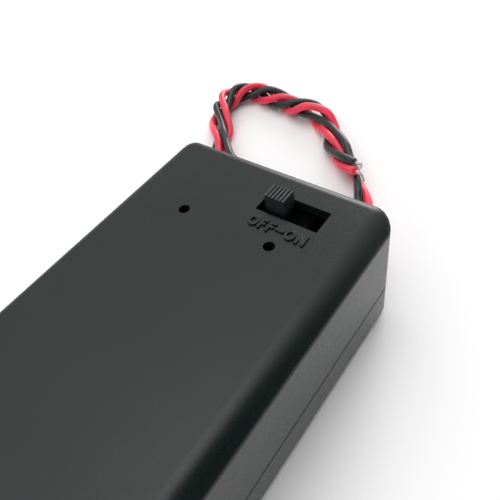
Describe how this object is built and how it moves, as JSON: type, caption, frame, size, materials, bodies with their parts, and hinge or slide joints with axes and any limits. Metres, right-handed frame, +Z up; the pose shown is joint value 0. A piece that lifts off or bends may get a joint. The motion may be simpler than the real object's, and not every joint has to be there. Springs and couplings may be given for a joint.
{
  "type": "nine volt battery holder",
  "caption": "Closed moulded holder for a nine volt battery, with a sliding cover, a slide switch in the top wall and a twisted red and black lead.",
  "frame": {"origin": "middle of the box's underside, on the surface that it lies on", "axes": "+X across the box, the way the switch knob moves to ON; +Y along the box to the end that the leads leave; +Z up, out of the wall with the switch"},
  "size_m": [0.0553, 0.1068, 0.0223],
  "materials": {
    "case_plastic": "satin black moulded ABS with a very fine texture",
    "knob_plastic": "satin black moulded plastic",
    "phenolic": "brown laminated board",
    "nickel": "nickel plated pressed metal",
    "steel": "plated pressed steel",
    "brass": "stamped brass strip",
    "solder": "bright solder",
    "tinned_copper": "tinned copper strands",
    "red_insulation": "satin red PVC insulation",
    "black_insulation": "satin black PVC insulation"
  },
  "bodies": {
    "case": {"case_shell": "case_plastic", "terminal_board": "phenolic", "snap_stud": "nickel", "snap_socket": "nickel", "stud_rivet": "nickel", "socket_rivet": "nickel", "stud_solder_tab": "brass", "socket_solder_tab": "brass", "switch_can": "steel", "switch_base": "phenolic", "switch_terminal_off": "brass", "switch_terminal_common": "brass", "switch_terminal_on": "brass", "solder_positive": "solder", "solder_negative": "solder", "solder_common": "solder", "solder_on": "solder", "red_jumper": "red_insulation", "red_lead_inside": "red_insulation", "black_lead_inside": "black_insulation", "red_lead": "red_insulation", "black_lead": "black_insulation", "red_lead_tip": "tinned_copper", "black_lead_tip": "tinned_copper"},
    "cover": {"battery_cover": "case_plastic"},
    "slider": {"switch_slider": "knob_plastic", "switch_contact": "brass"}
  },
  "joints": [
    {"name": "cover_slide", "type": "slide", "parent": "case", "child": "cover", "axis": [0, -1, 0], "range_m": [0, 0.05]},
    {"name": "switch_slide", "type": "slide", "parent": "case", "child": "slider", "axis": [1, 0, 0], "range_m": [0, 0.0044]}
  ]
}
